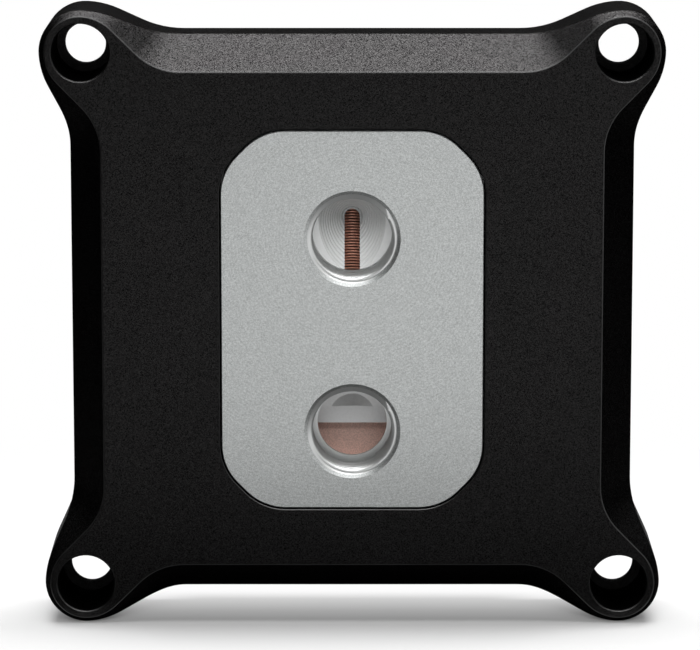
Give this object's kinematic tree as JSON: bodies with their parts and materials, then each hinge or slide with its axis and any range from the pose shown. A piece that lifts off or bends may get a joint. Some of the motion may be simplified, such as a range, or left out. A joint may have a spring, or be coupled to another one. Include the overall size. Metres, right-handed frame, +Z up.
{
  "type": "liquid cooling cold plate",
  "caption": "Square liquid cooling cold plate: bevelled frame with corner mounting bosses, cut-corner port block with two threaded ports and a finned copper base",
  "frame": {"origin": "middle of the width and of the thickness, at the lowest line of the two lower corner bosses", "axes": "+Z up, ports face -Y, the copper contact face looks to +Y, X across the plate"},
  "size_m": [0.09, 0.019, 0.09],
  "materials": {
    "black_anodised": "fine bead-blasted, anodised black",
    "blasted_silver": "nickel-plated brass, bead-blasted, matt silver",
    "milled_silver": "nickel-plated brass, fine tool marks",
    "copper": "bare copper, fine matt",
    "seal_rubber": "matt black rubber",
    "screw_steel": "plain steel"
  },
  "bodies": {
    "root": {"mounting_frame": "black_anodised", "port_block": "blasted_silver", "jet_plate": "milled_silver", "cold_plate": "copper", "seal_ring": "seal_rubber", "cold_plate_screws": "screw_steel", "frame_screws": "screw_steel"}
  },
  "joints": []
}
